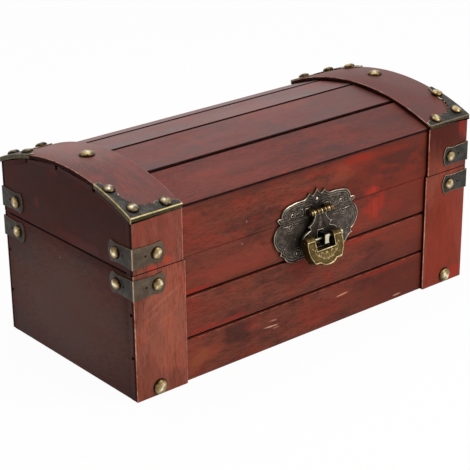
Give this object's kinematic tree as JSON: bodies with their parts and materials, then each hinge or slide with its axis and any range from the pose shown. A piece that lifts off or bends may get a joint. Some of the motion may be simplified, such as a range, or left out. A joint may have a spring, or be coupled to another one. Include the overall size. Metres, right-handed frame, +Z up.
{
  "type": "treasure chest box",
  "caption": "Wooden keepsake chest with a domed slatted lid on back hinges, brass-cornered, closed by a hinged hasp and a small hanging padlock.",
  "frame": {"origin": "middle of the chest's flat bottom face, half way between the strap faces", "axes": "+X along the chest's length to its right, -Y out of its front, +Z up"},
  "size_m": [0.3064, 0.1638, 0.144],
  "materials": {
    "front_wood": "red-brown stained planks under satin varnish",
    "end_wood": "dark brown stained end boards",
    "dome_wood": "pale red-brown stained slats under satin varnish",
    "strap_wood": "red-brown stained thin boards",
    "inner_wood": "stained floor board",
    "bracket_bronze": "dark antique bronze with bright rubbed edges",
    "nail_brass": "antique brass",
    "latch_bronze": "dark cast bronze with bright rims",
    "barrel_brass": "bright brass",
    "padlock_brass": "olive antique brass",
    "steel": "plain steel",
    "hinge_brass": "antique brass sheet"
  },
  "bodies": {
    "base": {"base_back_plank_lower": "front_wood", "base_back_plank_middle": "front_wood", "base_back_plank_upper": "front_wood", "base_bracket_back_left": "bracket_bronze", "base_bracket_back_right": "bracket_bronze", "base_bracket_front_left": "bracket_bronze", "base_bracket_front_right": "bracket_bronze", "base_front_plank_lower": "front_wood", "base_front_plank_middle": "front_wood", "base_front_plank_upper": "front_wood", "base_left_end": "end_wood", "base_nails": "nail_brass", "base_right_end": "end_wood", "base_strap_back_left": "strap_wood", "base_strap_back_right": "strap_wood", "base_strap_front_left": "strap_wood", "base_strap_front_right": "strap_wood", "floor_panel": "inner_wood", "hinge_base_leaf_left": "hinge_brass", "hinge_base_leaf_right": "hinge_brass", "hinge_base_screws": "hinge_brass", "hinge_pin_left": "barrel_brass", "hinge_pin_right": "barrel_brass", "latch_lower_pins": "nail_brass", "latch_lower_plate": "latch_bronze"},
    "lid": {"corner_guard_back_left": "bracket_bronze", "corner_guard_back_right": "bracket_bronze", "corner_guard_front_left": "bracket_bronze", "corner_guard_front_right": "bracket_bronze", "dome_strap_left": "dome_wood", "dome_strap_right": "dome_wood", "hasp_pin": "barrel_brass", "hinge_lid_leaf_left": "hinge_brass", "hinge_lid_leaf_right": "hinge_brass", "hinge_lid_screws": "hinge_brass", "latch_upper_pins": "nail_brass", "latch_upper_plate": "latch_bronze", "lid_back_plank": "front_wood", "lid_bracket_back_left": "bracket_bronze", "lid_bracket_back_right": "bracket_bronze", "lid_bracket_front_left": "bracket_bronze", "lid_bracket_front_right": "bracket_bronze", "lid_front_plank": "front_wood", "lid_left_end": "end_wood", "lid_nails": "nail_brass", "lid_right_end": "end_wood", "lid_slat_1": "dome_wood", "lid_slat_2": "dome_wood", "lid_slat_3": "dome_wood", "lid_slat_4": "dome_wood", "lid_strap_back_left": "strap_wood", "lid_strap_back_right": "strap_wood", "lid_strap_front_left": "strap_wood", "lid_strap_front_right": "strap_wood"},
    "hasp": {"hasp": "latch_bronze", "staple": "steel"},
    "padlock": {"padlock_body": "padlock_brass", "padlock_spring": "steel"},
    "bar": {"padlock_bar": "steel"}
  },
  "joints": [
    {"name": "lid_hinge", "type": "hinge", "parent": "base", "child": "lid", "pos_m": [0, 0.0736, 0.0877], "axis": [-1, 0, 0], "range_deg": [0, 105]},
    {"name": "hasp_hinge", "type": "hinge", "parent": "lid", "child": "hasp", "pos_m": [0.0038, -0.0762, 0.0915], "axis": [-1, 0, 0], "range_deg": [0, 120]},
    {"name": "padlock_swing", "type": "hinge", "parent": "hasp", "child": "padlock", "pos_m": [0.0019, -0.0792, 0.0732], "axis": [-1, 0, 0], "range_deg": [0, 60]},
    {"name": "bar_slide", "type": "slide", "parent": "padlock", "child": "bar", "axis": [1, 0, 0], "range_m": [0, 0.025]}
  ]
}
